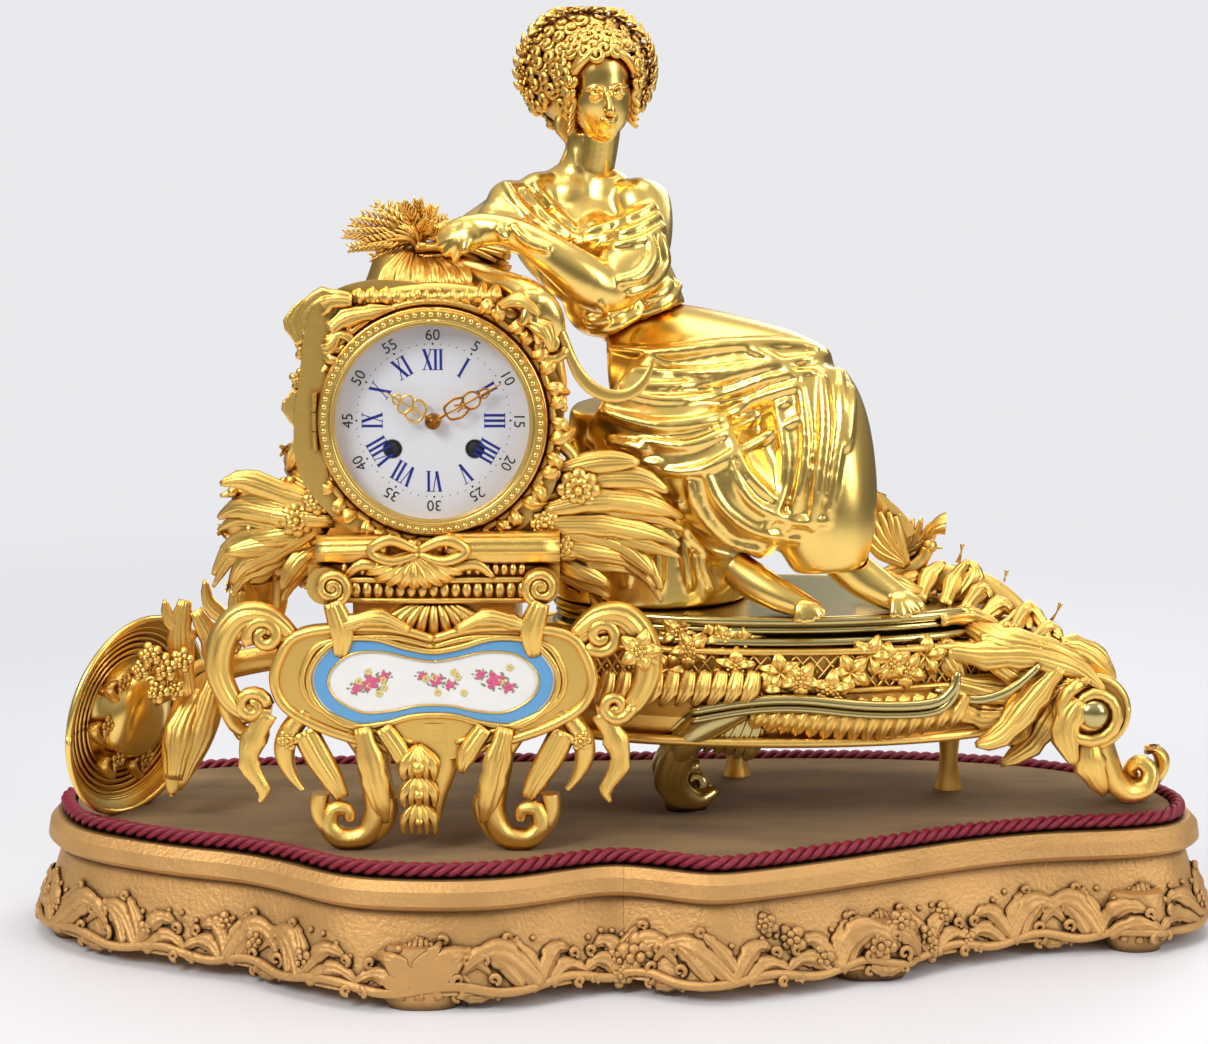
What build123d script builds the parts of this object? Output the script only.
from build123d import *
from math import cos, sin, pi, radians, atan2, sqrt
import os

os.makedirs("parts", exist_ok=True)

# Driving dimensions, in millimetres. X is right, Y is away from the viewer and Z is up.
# The origin is on the floor under the middle of the giltwood base.

# Giltwood base
base_length = 515.0
base_depth = 192.4
velvet_level = 57.0
velvet_thickness = 3.5
rope_diameter = 7.0
moulding_reach = 10.0
apron_reach = 15.0
apron_clearance = 7.0
rail_thickness = 14.0
board_thickness = 8.5
rail_end_x = 215.0

# Drum and dial
dial_x = -81.5
dial_z = 242.3
drum_radius = 50.0
drum_wall = 4.0
drum_front_y = -46.0
drum_length = 80.0
surround_thickness = 6.0
dial_radius = 43.0
dial_thickness = 1.5
dial_front_y = -50.0
bezel_outer_radius = 48.3
bezel_inner_radius = 41.4
bezel_front_y = -60.0
bezel_depth = 7.7
glass_thickness = 1.2
door_thickness = 2.5
door_gap = 0.4

# Console, cartouche and plaque
console_width = 70.0
console_front_y = -58.0
console_back_y = 34.0
console_bottom_z = 112.0
shelf_width = 108.0
shelf_bottom_z = 173.0
shelf_top_z = 181.0
pocket_width = 52.0
pocket_front_y = -22.0
cartouche_thickness = 10.0
cartouche_width = 151.0
cartouche_height = 50.0
cartouche_z = 131.0
plaque_width = 103.0
plaque_height = 37.0
plaque_thickness = 2.0

# Plinth and ledge
plinth_x = 70.0
plinth_y = 20.0
plinth_length = 236.0
plinth_width = 110.0
plinth_bottom_z = 94.0
band_bottom_z = 120.0
band_top_z = 139.0
ledge_top_z = 153.0
ledge_length = 200.0
ledge_width = 106.0

# Figure, measured from the ledge to the top of the hair
figure_height = 265.0
figure_x = 0.0
figure_y = 0.0

# Movement
plate_radius = 40.0
plate_thickness = 2.0
front_plate_y = -42.0
plate_distance = 22.0
gear_module = 0.4
gear_width = 1.4
arbor_radius = 1.2
running_fit = 0.05
air = 0.4
winding_x = 17.7
winding_drop = 12.2
winding_hole_radius = 4.0
winding_square = 3.0
pendulum_length = 100.0
swing_angle = 4.0
bell_radius = 26.0
bell_depth = 14.0
bell_wall = 1.2

overrun = 5.0


# Planes and forms shared by the pieces


def facing(y):
    """A plane across Y whose normal points to the viewer; its local y is Z."""
    return Plane(origin=(0, y, 0), x_dir=(1, 0, 0), z_dir=(0, -1, 0))


def ring_points(half_depth, half_width, count=8):
    """Evenly spaced points round an ellipse."""
    turn = 2 * pi / count
    return [(half_depth * cos(turn * i), half_width * sin(turn * i)) for i in range(count)]


def horn(rows):
    """A closed form lofted through ellipses; each row is a place, a half depth and a half width."""
    places = [Vector(*row[0]) for row in rows]
    last = len(rows) - 1
    with BuildPart() as form:
        for i in range(last + 1):
            ahead = places[min(i + 1, last)] - places[max(i - 1, 0)]
            with BuildSketch(Plane(origin=places[i], x_dir=(0, 1, 0), z_dir=ahead)):
                with BuildLine():
                    Spline(ring_points(rows[i][1], rows[i][2]), periodic=True)
                make_face()
        loft()
    return form.part


def scroll_rows(centre, start_angle, end_angle, radii, half_depths, half_widths, steps=6):
    """Rows of a scroll in the XZ plane; radius and section change evenly along it."""
    rows = []
    for i in range(steps + 1):
        share = i / steps
        angle = radians(start_angle + (end_angle - start_angle) * share)
        radius = radii[0] + (radii[1] - radii[0]) * share
        place = (centre[0] + radius * cos(angle), centre[1], centre[2] + radius * sin(angle))
        half_depth = half_depths[0] + (half_depths[1] - half_depths[0]) * share
        half_width = half_widths[0] + (half_widths[1] - half_widths[0]) * share
        rows.append((place, half_depth, half_width))
    return rows


def scaled_rows(shares, origin, unit):
    """Rows of a horn from shares of one size: x, y, z, half depth, half width."""
    return [
        (
            (origin[0] + x * unit, origin[1] + y * unit, origin[2] + z * unit),
            half_depth * unit,
            half_width * unit,
        )
        for x, y, z, half_depth, half_width in shares
    ]


def fuse(solids, cuts=()):
    """One part from overlapping forms, with its neighbours cut away."""
    with BuildPart() as whole:
        for solid in solids:
            add(solid)
        for cut in cuts:
            add(cut, mode=Mode.SUBTRACT)
    return whole.part


def disc(x, z, radius, back_y, length):
    """A round bar along Y, from back_y towards the viewer."""
    with BuildPart() as bar:
        with BuildSketch(facing(back_y)):
            with Locations((x, z)):
                Circle(radius)
        extrude(amount=length)
    return bar.part


# Giltwood base

# The outline follows the rope's centreline: one serpentine front, a calm back.
outline_shares = [
    (-1.0, 0.30),
    (-0.988, 0.04),
    (-0.935, -0.20),
    (-0.83, -0.385),
    (-0.735, -0.50),
    (-0.65, -0.58),
    (-0.555, -0.73),
    (-0.455, -0.93),
    (-0.33, -1.0),
    (-0.20, -0.97),
    (-0.115, -0.865),
    (-0.02, -0.775),
    (0.06, -0.82),
    (0.145, -0.90),
    (0.22, -0.85),
    (0.32, -0.735),
    (0.45, -0.565),
    (0.60, -0.37),
    (0.745, -0.25),
    (0.88, -0.20),
    (0.968, -0.10),
    (1.0, 0.12),
    (0.975, 0.37),
    (0.90, 0.62),
    (0.77, 0.83),
    (0.60, 0.95),
    (0.38, 1.0),
    (0.0, 0.96),
    (-0.45, 0.89),
    (-0.75, 0.82),
    (-0.92, 0.62),
]


def outline(grow):
    """Points of the base's outline, moved outwards by grow."""
    points = [(x * base_length / 2, y * base_depth / 2) for x, y in outline_shares]
    count = len(points)
    moved = []
    for i, (x, y) in enumerate(points):
        before = points[i - 1]
        after = points[(i + 1) % count]
        along = Vector(after[0] - before[0], after[1] - before[1]).normalized()
        moved.append((x + along.Y * grow, y - along.X * grow))
    return moved


def stacked(rows):
    """A solid through outlines; each row is a height and how far the outline is moved out."""
    with BuildPart() as stack:
        for z, grow in rows:
            with BuildSketch(Plane.XY.offset(z)):
                with BuildLine():
                    Spline(outline(grow), periodic=True)
                make_face()
        loft(ruled=True)
    return stack.part


frame_top = velvet_level - velvet_thickness
moulding_height = frame_top * 0.2
cove_top = frame_top * 0.7
frame_rows = [
    (apron_clearance, apron_reach),
    (frame_top * 0.35, moulding_reach),
    (cove_top, moulding_reach * 0.4),
    (cove_top + moulding_height * 0.2, moulding_reach * 0.3),
    (cove_top + moulding_height * 0.45, moulding_reach * 0.85),
    (frame_top - moulding_height * 0.9, moulding_reach),
    (frame_top - moulding_height * 0.35, moulding_reach * 0.9),
    (frame_top, rope_diameter * 0.8),
]
frame_solid = stacked(frame_rows)
frame_hollow = stacked([(0, -rail_thickness), (frame_top + overrun, -rail_thickness)])
frame_ring = fuse([frame_solid], [frame_hollow])

# The front rail is two lengths with a fine joint in the middle.
rail_joint = 0.1
with BuildPart() as rail_left_length:
    add(frame_ring)
    split(bisect_by=Plane.YZ.offset(-rail_end_x), keep=Keep.TOP)
    split(bisect_by=Plane.YZ.offset(-rail_joint / 2), keep=Keep.BOTTOM)
    split(bisect_by=Plane.XZ, keep=Keep.TOP)
with BuildPart() as rail_right_length:
    add(frame_ring)
    split(bisect_by=Plane.YZ.offset(rail_joint / 2), keep=Keep.TOP)
    split(bisect_by=Plane.YZ.offset(rail_end_x), keep=Keep.BOTTOM)
    split(bisect_by=Plane.XZ, keep=Keep.TOP)
with BuildPart() as base_front_rail:
    add(rail_left_length.part)
    add(rail_right_length.part)
base_front_rail.part.label = "base_front_rail"
export_step(base_front_rail.part, "parts/base_front_rail.step")

with BuildPart() as base_back_rail:
    add(frame_ring)
    split(bisect_by=Plane.YZ.offset(-rail_end_x), keep=Keep.TOP)
    split(bisect_by=Plane.YZ.offset(rail_end_x), keep=Keep.BOTTOM)
    split(bisect_by=Plane.XZ, keep=Keep.BOTTOM)
base_back_rail.part.label = "base_back_rail"
export_step(base_back_rail.part, "parts/base_back_rail.step")

with BuildPart() as base_left_end:
    add(frame_ring)
    split(bisect_by=Plane.YZ.offset(-rail_end_x), keep=Keep.BOTTOM)
with BuildPart() as base_right_end:
    add(frame_ring)
    split(bisect_by=Plane.YZ.offset(rail_end_x), keep=Keep.TOP)
with BuildPart() as base_ends:
    add(base_left_end.part)
    add(base_right_end.part)
base_ends.part.label = "base_ends"
export_step(base_ends.part, "parts/base_ends.step")

with BuildPart() as base_board:
    add(stacked([(frame_top - board_thickness, -rail_thickness), (frame_top, -rail_thickness)]))
base_board.part.label = "base_board"
export_step(base_board.part, "parts/base_board.step")

velvet_inset = rope_diameter / 2 + air / 2
with BuildPart() as velvet_top:
    add(stacked([(frame_top, -velvet_inset), (velvet_level, -velvet_inset)]))
velvet_top.part.label = "velvet_top"
export_step(velvet_top.part, "parts/velvet_top.step")

rope_radius = rope_diameter / 2
rope_flat_share = 0.4
rope_flat = rope_radius * rope_flat_share
rope_outside = stacked(
    [
        (frame_top, rope_flat),
        (frame_top + rope_radius - rope_flat, rope_radius),
        (frame_top + rope_radius + rope_flat, rope_radius),
        (frame_top + rope_diameter, rope_flat),
    ]
)
rope_inside = stacked(
    [
        (frame_top, -rope_flat),
        (frame_top + rope_radius - rope_flat, -rope_radius),
        (frame_top + rope_radius + rope_flat, -rope_radius),
        (frame_top + rope_diameter, -rope_flat),
    ]
)
with BuildPart() as rope_trim:
    add(rope_outside)
    add(rope_inside, mode=Mode.SUBTRACT)
rope_trim.part.label = "rope_trim"
export_step(rope_trim.part, "parts/rope_trim.step")

# Places of the carved feet as shares of the half length and half depth, with their half sizes as shares
# of the apron's reach.
foot_shares = [
    (-0.33, -1.09, 1.9, 0.7),
    (-0.985, -0.06, 1.0, 1.3),
    (0.90, -0.29, 1.5, 1.0),
    (-0.80, 0.86, 1.3, 0.8),
    (0.78, 0.89, 1.3, 0.8),
    (0.42, -0.70, 1.9, 0.8),
]
foot_height = frame_top * 0.5


def largest(shape):
    """The largest solid of a cut form."""
    return shape.solids().sort_by(SortBy.VOLUME)[-1]


def carved_foot(x_share, y_share, width_share, depth_share):
    """A carved foot, from the floor up to the apron."""
    x = x_share * base_length / 2
    y = y_share * base_depth / 2
    half_width = width_share * apron_reach / 2
    half_depth = depth_share * apron_reach / 2
    return fuse(
        [
            horn(
                [
                    ((x, y, 0), half_depth, half_width),
                    ((x, y, foot_height * 0.3), half_depth * 1.25, half_width * 1.25),
                    ((x, y, foot_height), half_depth, half_width),
                ]
            )
        ],
        [frame_solid],
    )


with BuildPart() as base_feet:
    for row in foot_shares:
        add(largest(carved_foot(*row)))
base_feet.part.label = "base_feet"
export_step(base_feet.part, "parts/base_feet.step")

# Drum case, its surround and the fixed brass ring behind the bezel

drum_back_y = drum_front_y + drum_length
drum_inner_radius = drum_radius - drum_wall
drum_envelope = disc(dial_x, dial_z, drum_radius, drum_back_y, drum_length)
slot_width = pocket_width - drum_wall * 2
slot_front_y = pocket_front_y + drum_wall
slot_length = drum_length * 0.5

hinge_radius = 1.5
knuckle_length = 8.0
bezel_hinge_x = dial_x - bezel_outer_radius - hinge_radius * 1.4
bezel_hinge_y = bezel_front_y + bezel_depth - hinge_radius
rear_hinge_x = dial_x - drum_radius
rear_hinge_y = drum_back_y + door_gap + door_thickness - hinge_radius * 0.5
lug_low_z = dial_z - knuckle_length * 1.5 - air
lug_high_z = dial_z + knuckle_length / 2 + air


def lug(x, y, z, reach):
    """A fixed hinge barrel along Z with a web that reaches along Y to its wall."""
    with BuildPart() as barrel:
        with BuildSketch(Plane.XY.offset(z)):
            with Locations((x, y)):
                Circle(hinge_radius)
            with Locations((x, y + reach / 2)):
                Rectangle(hinge_radius * 2, abs(reach))
        extrude(amount=knuckle_length)
    return barrel.part


with BuildPart() as drum_case:
    with BuildSketch(facing(drum_back_y)):
        with Locations((dial_x, dial_z)):
            Circle(drum_radius)
            Circle(drum_inner_radius, mode=Mode.SUBTRACT)
    extrude(amount=drum_length)
    with BuildSketch(facing(slot_front_y + slot_length)):
        with Locations((dial_x, dial_z - drum_radius)):
            Rectangle(slot_width, drum_radius)
    extrude(amount=slot_length, mode=Mode.SUBTRACT)
    for lug_z in (lug_low_z, lug_high_z):
        add(lug(rear_hinge_x + drum_wall / 2, rear_hinge_y, lug_z, -drum_wall))
drum_case.part.label = "drum_case"
export_step(drum_case.part, "parts/drum_case.step")

# Reach of the pierced surround at equal steps round the dial, from the right, as shares of the drum.
surround_shares = [
    1.10, 1.13, 1.10, 1.14, 1.16, 1.30, 1.40, 1.22,
    1.19, 1.24, 1.20, 1.19, 1.20, 1.19, 1.20, 1.16,
]

with BuildPart() as drum_surround:
    with BuildSketch(facing(drum_front_y)):
        with BuildLine():
            Spline(
                [
                    (
                        dial_x + drum_radius * share * cos(2 * pi * i / len(surround_shares)),
                        dial_z + drum_radius * share * sin(2 * pi * i / len(surround_shares)),
                    )
                    for i, share in enumerate(surround_shares)
                ],
                periodic=True,
            )
        make_face()
        with Locations((dial_x, dial_z)):
            Circle(drum_inner_radius, mode=Mode.SUBTRACT)
    extrude(amount=surround_thickness)
    for lug_z in (lug_low_z, lug_high_z):
        add(lug(bezel_hinge_x, bezel_hinge_y, lug_z, surround_thickness / 2))
drum_surround.part.label = "drum_surround"
export_step(drum_surround.part, "parts/drum_surround.step")

ring_front_y = drum_front_y - surround_thickness
dial_back_y = dial_front_y + dial_thickness
with BuildPart() as dial_ring:
    with BuildSketch(facing(drum_front_y + drum_wall)):
        with Locations((dial_x, dial_z)):
            Circle(drum_inner_radius - running_fit)
            Circle(dial_radius + running_fit, mode=Mode.SUBTRACT)
    extrude(amount=surround_thickness + drum_wall)
    with BuildSketch(facing(drum_front_y + drum_wall)):
        with Locations((dial_x, dial_z)):
            Circle(drum_inner_radius - running_fit)
            Circle(bezel_inner_radius, mode=Mode.SUBTRACT)
    extrude(amount=drum_wall - (dial_back_y - drum_front_y))
dial_ring.part.label = "dial_ring"
export_step(dial_ring.part, "parts/dial_ring.step")

hour_pipe_radius = 2.9
with BuildPart() as dial:
    with BuildSketch(facing(dial_back_y)):
        with Locations((dial_x, dial_z)):
            Circle(dial_radius)
            Circle(hour_pipe_radius + air, mode=Mode.SUBTRACT)
        with Locations(
            (dial_x - winding_x, dial_z - winding_drop), (dial_x + winding_x, dial_z - winding_drop)
        ):
            Circle(winding_hole_radius, mode=Mode.SUBTRACT)
    extrude(amount=dial_thickness)
dial.part.label = "dial"
export_step(dial.part, "parts/dial.step")

# Hinged bezel with its glass, and the rear door

bezel_back_y = bezel_front_y + bezel_depth
glass_back_y = bezel_front_y + bezel_depth * 0.4
glass_radius = bezel_inner_radius + 1.2


def knuckle(x, y, z, reach):
    """A short hinge barrel along Z with a tab that reaches sideways to its leaf."""
    with BuildPart() as barrel:
        with BuildSketch(Plane.XY.offset(z)):
            with Locations((x, y)):
                Circle(hinge_radius)
            with Locations((x + reach / 2, y)):
                Rectangle(abs(reach), hinge_radius)
        extrude(amount=knuckle_length)
    return barrel.part


with BuildPart() as bezel:
    with BuildSketch(facing(bezel_back_y)):
        with Locations((dial_x, dial_z)):
            Circle(bezel_outer_radius)
            Circle(glass_radius, mode=Mode.SUBTRACT)
    extrude(amount=bezel_back_y - glass_back_y)
    with BuildSketch(facing(glass_back_y)):
        with Locations((dial_x, dial_z)):
            Circle(bezel_outer_radius)
            Circle(glass_radius, mode=Mode.SUBTRACT)
    extrude(amount=glass_thickness)
    with BuildSketch(facing(glass_back_y - glass_thickness)) as bezel_lip:
        with Locations((dial_x, dial_z)):
            Circle(bezel_outer_radius)
            Circle(bezel_inner_radius, mode=Mode.SUBTRACT)
    extrude(amount=glass_back_y - glass_thickness - bezel_front_y, taper=20)
    add(knuckle(bezel_hinge_x, bezel_hinge_y, dial_z - knuckle_length / 2, hinge_radius * 3))
bezel.part.label = "bezel"
export_step(bezel.part, "parts/bezel.step")

with BuildPart() as bezel_glass:
    add(disc(dial_x, dial_z, glass_radius, glass_back_y, glass_thickness))
bezel_glass.part.label = "bezel_glass"
export_step(bezel_glass.part, "parts/bezel_glass.step")

door_front_y = drum_back_y + door_gap
door_back_y = door_front_y + door_thickness
door_radius = drum_radius - drum_wall
with BuildPart() as rear_door:
    add(disc(dial_x, dial_z, door_radius, door_back_y, door_thickness))
    add(knuckle(rear_hinge_x + drum_wall / 2, rear_hinge_y, dial_z - knuckle_length / 2, hinge_radius * 3))
rear_door.part.label = "rear_door"
export_step(rear_door.part, "parts/rear_door.step")

# Console under the drum: a hollow block, open behind, where the pendulum swings

console_side = console_width / 2
shelf_thickness = shelf_top_z - shelf_bottom_z
with BuildPart() as console:
    with BuildSketch(facing(console_back_y)):
        with BuildLine():
            Polyline(
                (dial_x - console_side * 1.25, console_bottom_z),
                (dial_x - console_side, console_bottom_z + shelf_thickness * 2),
                (dial_x - console_side, shelf_bottom_z - shelf_thickness),
                (dial_x - shelf_width / 2, shelf_bottom_z),
                (dial_x - shelf_width / 2, shelf_top_z),
                (dial_x - console_side, dial_z - drum_radius * 0.6),
                (dial_x + console_side, dial_z - drum_radius * 0.6),
                (dial_x + shelf_width / 2, shelf_top_z),
                (dial_x + shelf_width / 2, shelf_bottom_z),
                (dial_x + console_side, shelf_bottom_z - shelf_thickness),
                (dial_x + console_side, console_bottom_z + shelf_thickness * 2),
                (dial_x + console_side * 1.25, console_bottom_z),
                close=True,
            )
        make_face()
    extrude(amount=console_back_y - drum_front_y)
    with BuildSketch(facing(drum_front_y)):
        with BuildLine():
            Polyline(
                (dial_x - console_side * 1.25, console_bottom_z),
                (dial_x - console_side, console_bottom_z + shelf_thickness * 2),
                (dial_x - console_side, shelf_bottom_z - shelf_thickness),
                (dial_x - shelf_width / 2, shelf_bottom_z),
                (dial_x - shelf_width / 2, shelf_top_z),
                (dial_x + shelf_width / 2, shelf_top_z),
                (dial_x + shelf_width / 2, shelf_bottom_z),
                (dial_x + console_side, shelf_bottom_z - shelf_thickness),
                (dial_x + console_side, console_bottom_z + shelf_thickness * 2),
                (dial_x + console_side * 1.25, console_bottom_z),
                close=True,
            )
        make_face()
    extrude(amount=drum_front_y - console_front_y)
    add(drum_envelope, mode=Mode.SUBTRACT)
    with BuildSketch(facing(console_back_y + overrun)):
        with BuildLine():
            Polyline(
                (dial_x - pocket_width / 2, console_bottom_z + shelf_thickness),
                (dial_x - pocket_width / 2, dial_z),
                (dial_x + pocket_width / 2, dial_z),
                (dial_x + pocket_width / 2, console_bottom_z + shelf_thickness),
                close=True,
            )
        make_face()
    extrude(amount=console_back_y + overrun - pocket_front_y, mode=Mode.SUBTRACT)
    for side in (-1, 1):
        with BuildSketch(facing(console_front_y)):
            with Locations((dial_x + side * (shelf_width / 2 - shelf_thickness), shelf_bottom_z)):
                Circle(shelf_thickness)
        extrude(amount=shelf_thickness)
    add(drum_surround.part, mode=Mode.SUBTRACT)
console.part.label = "console"
export_step(console.part, "parts/console.step")

# Front cartouche: the frame round the plaque, outer scrolls, tails, feet and a husk drop

# Half of each silhouette, from the top middle round to the bottom middle, as shares of the half width
# and half height.
frame_shares = [(0.0, 0.80), (0.25, 1.0), (0.55, 1.0), (0.80, 0.85), (0.90, 0.45), (0.93, 0.0),
                (0.86, -0.45), (0.66, -0.80), (0.42, -1.05), (0.15, -1.30)]
plaque_shares = [(0.0, 0.70), (0.22, 0.80), (0.50, 1.0), (0.80, 0.90), (1.0, 0.25), (0.95, -0.45),
                 (0.70, -0.95), (0.40, -0.92), (0.15, -0.75)]


def silhouette(shares, half_width, half_height, middle_z):
    """Closed points from half a silhouette and its mirror image about the dial's axis."""
    right = [(dial_x + x * half_width, middle_z + z * half_height) for x, z in shares]
    left = [(2 * dial_x - x, z) for x, z in reversed(right[1:])]
    return right + left


plaque_seat_y = console_front_y - cartouche_thickness * 0.75
scroll_width = cartouche_thickness * 0.45
side_reach = cartouche_width / 2
cartouche_foot_x = side_reach * 0.42
cartouche_foot_y = console_front_y - cartouche_thickness * 0.6
scroll_radius = cartouche_height * 0.42
foot_radius = cartouche_height * 0.30


def mirrored(rows):
    """The same rows on the other side of the dial's axis."""
    return [((2 * dial_x - place[0], place[1], place[2]), depth, width) for place, depth, width in rows]


outer_scroll = scroll_rows(
    (dial_x + side_reach * 0.98, cartouche_foot_y, cartouche_z + scroll_radius * 0.35),
    -100,
    135,
    (scroll_radius, scroll_radius * 0.75),
    (scroll_width, scroll_width),
    (scroll_width, scroll_width * 0.8),
)
tail = [
    ((dial_x + side_reach * 0.72, cartouche_foot_y, cartouche_z - cartouche_height * 0.25), scroll_width, scroll_width),
    ((dial_x + side_reach * 0.86, cartouche_foot_y, cartouche_z - cartouche_height * 0.62), scroll_width, scroll_width),
    ((dial_x + side_reach * 0.76, cartouche_foot_y, cartouche_z - cartouche_height * 0.95), scroll_width / 2, scroll_width / 3),
]
foot_centre_z = velvet_level + foot_radius + scroll_width
front_foot = scroll_rows(
    (dial_x + cartouche_foot_x + foot_radius * 0.25, cartouche_foot_y, foot_centre_z),
    165,
    380,
    (foot_radius, foot_radius),
    (scroll_width, scroll_width),
    (scroll_width, scroll_width * 0.9),
)
stem_angle = 178
stem_end_width = scroll_width * 0.8
foot_stem = [
    ((dial_x + cartouche_foot_x * 1.15, cartouche_foot_y, cartouche_z - cartouche_height * 0.42), scroll_width, scroll_width),
    ((dial_x + cartouche_foot_x * 0.85, cartouche_foot_y, cartouche_z - cartouche_height * 0.72), scroll_width, scroll_width),
    ((dial_x + cartouche_foot_x + foot_radius * (0.25 + cos(radians(stem_angle))), cartouche_foot_y,
      foot_centre_z + foot_radius * sin(radians(stem_angle))), stem_end_width, stem_end_width),
]
drop = [
    ((dial_x, cartouche_foot_y, cartouche_z - cartouche_height * 0.35), scroll_width, scroll_width * 2.2),
    ((dial_x, cartouche_foot_y, cartouche_z - cartouche_height * 0.60), scroll_width, scroll_width * 2.6),
    ((dial_x, cartouche_foot_y, cartouche_z - cartouche_height * 0.95), scroll_width, scroll_width * 1.4),
    ((dial_x, cartouche_foot_y, cartouche_z - cartouche_height * 1.22), scroll_width / 2, scroll_width * 0.6),
]
cartouche_limbs = [horn(rows) for rows in (outer_scroll, tail, front_foot, foot_stem)]
cartouche_limbs += [horn(mirrored(rows)) for rows in (outer_scroll, tail, front_foot, foot_stem)]

with BuildPart() as cartouche:
    with BuildSketch(facing(console_front_y)):
        with BuildLine():
            Spline(silhouette(frame_shares, side_reach, cartouche_height / 2, cartouche_z), periodic=True)
        make_face()
    extrude(amount=cartouche_thickness)
    for limb in cartouche_limbs:
        add(limb)
    add(horn(drop))
    with BuildSketch(facing(plaque_seat_y)):
        with BuildLine():
            Spline(silhouette(plaque_shares, plaque_width / 2, plaque_height / 2, cartouche_z + air), periodic=True)
        make_face()
    extrude(amount=cartouche_thickness, mode=Mode.SUBTRACT)
    add(console.part, mode=Mode.SUBTRACT)
    with BuildSketch(Plane.XY.offset(velvet_level)):
        with Locations((dial_x, cartouche_foot_y)):
            Rectangle(cartouche_width * 1.5, cartouche_height)
    extrude(amount=-cartouche_height, mode=Mode.SUBTRACT)
cartouche.part.label = "cartouche"
export_step(cartouche.part, "parts/cartouche.step")

with BuildPart() as plaque:
    with BuildSketch(facing(plaque_seat_y)):
        with BuildLine():
            Spline(silhouette(plaque_shares, plaque_width / 2, plaque_height / 2, cartouche_z + air), periodic=True)
        make_face()
    extrude(amount=plaque_thickness)
    add(cartouche.part, mode=Mode.SUBTRACT)
plaque.part.label = "plaque"
export_step(plaque.part, "parts/plaque.step")

# Plinth body with its trellis band, and the moulded ledge on top of it


def oval_stack(x, y, length, width, rows):
    """A solid through ovals; each row is a height and the share of the full oval there."""
    with BuildPart() as stack:
        for z, share in rows:
            with BuildSketch(Plane.XY.offset(z)):
                with Locations((x, y)):
                    Ellipse(length * share / 2, width * share / 2)
        loft(ruled=True)
    return stack.part


rail_height = (band_bottom_z - plinth_bottom_z) * 0.25
plinth_solid = oval_stack(
    plinth_x,
    plinth_y,
    plinth_length,
    plinth_width,
    [
        (plinth_bottom_z, 0.93),
        (band_bottom_z - rail_height * 2, 0.97),
        (band_bottom_z - rail_height, 1.02),
        (band_bottom_z, 1.0),
        (band_top_z, 0.96),
    ],
)
with BuildPart() as plinth_body:
    add(plinth_solid)
    add(console.part, mode=Mode.SUBTRACT)
plinth_body.part.label = "plinth_body"
export_step(plinth_body.part, "parts/plinth_body.step")

ledge_height = ledge_top_z - band_top_z
ledge_front_y = plinth_y - ledge_width / 2
ledge_left_x = plinth_x - ledge_length / 2
ledge_rise = ledge_height * 1.6
ledge_solid = oval_stack(
    plinth_x,
    plinth_y,
    ledge_length,
    ledge_width,
    [
        (band_top_z, 0.92),
        (band_top_z + ledge_height * 0.5, 0.95),
        (band_top_z + ledge_height * 0.7, 1.0),
        (ledge_top_z, 0.985),
    ],
)
ledge_sweep = horn(
    [
        ((plinth_x - ledge_length * 0.36, ledge_front_y + ledge_width * 0.20, ledge_top_z - ledge_height * 0.5),
         ledge_height * 0.5, ledge_height * 0.4),
        ((ledge_left_x + ledge_length * 0.10, ledge_front_y + ledge_width * 0.27, ledge_top_z + ledge_rise * 0.1),
         ledge_height * 0.5, ledge_height * 0.4),
        ((ledge_left_x + ledge_length * 0.02, ledge_front_y + ledge_width * 0.42, ledge_top_z + ledge_rise * 0.7),
         ledge_height * 0.5, ledge_height * 0.35),
        ((ledge_left_x - ledge_length * 0.02, ledge_front_y + ledge_width * 0.50, ledge_top_z + ledge_rise),
         ledge_height * 0.4, ledge_height * 0.3),
    ]
)
with BuildPart() as ledge:
    add(ledge_solid)
    add(ledge_sweep)
    add(plinth_body.part, mode=Mode.SUBTRACT)
    add(console.part, mode=Mode.SUBTRACT)
    add(drum_envelope, mode=Mode.SUBTRACT)
ledge.part.label = "ledge"
export_step(ledge.part, "parts/ledge.step")

# Figure: every place and size below is a share of the figure's height above the ledge

figure_origin = (figure_x, figure_y, ledge_top_z)


def figure_horn(shares):
    """A horn of the figure."""
    return horn(scaled_rows(shares, figure_origin, figure_height))


mound_shares = [(0.050, 0.080, 0.0, 0.150, 0.170), (0.050, 0.080, 0.18, 0.145, 0.155),
                (0.040, 0.070, 0.34, 0.125, 0.130)]
thigh_shares = [(-0.02, 0.060, 0.40, 0.085, 0.085), (0.045, 0.055, 0.405, 0.105, 0.105),
                (0.15, 0.025, 0.395, 0.105, 0.105), (0.26, -0.02, 0.39, 0.085, 0.085),
                (0.34, -0.05, 0.385, 0.050, 0.055)]
shin_shares = [(0.29, -0.04, 0.39, 0.070, 0.080), (0.315, -0.065, 0.29, 0.080, 0.100),
               (0.325, -0.08, 0.20, 0.080, 0.100), (0.340, -0.09, 0.12, 0.065, 0.080),
               (0.345, -0.09, 0.075, 0.045, 0.060)]
drape_shares = [(0.00, 0.00, 0.36, 0.110, 0.100), (0.10, -0.035, 0.28, 0.110, 0.105),
                (0.20, -0.075, 0.20, 0.095, 0.090), (0.27, -0.095, 0.13, 0.060, 0.055)]
skirt_cuts = [ledge.part, console.part, drum_envelope, drum_surround.part]
with BuildPart() as skirt:
    for shares in (mound_shares, thigh_shares, shin_shares, drape_shares):
        add(figure_horn(shares))
    for cut in skirt_cuts:
        add(cut, mode=Mode.SUBTRACT)
skirt.part.label = "skirt"
export_step(skirt.part, "parts/skirt.step")

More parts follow.
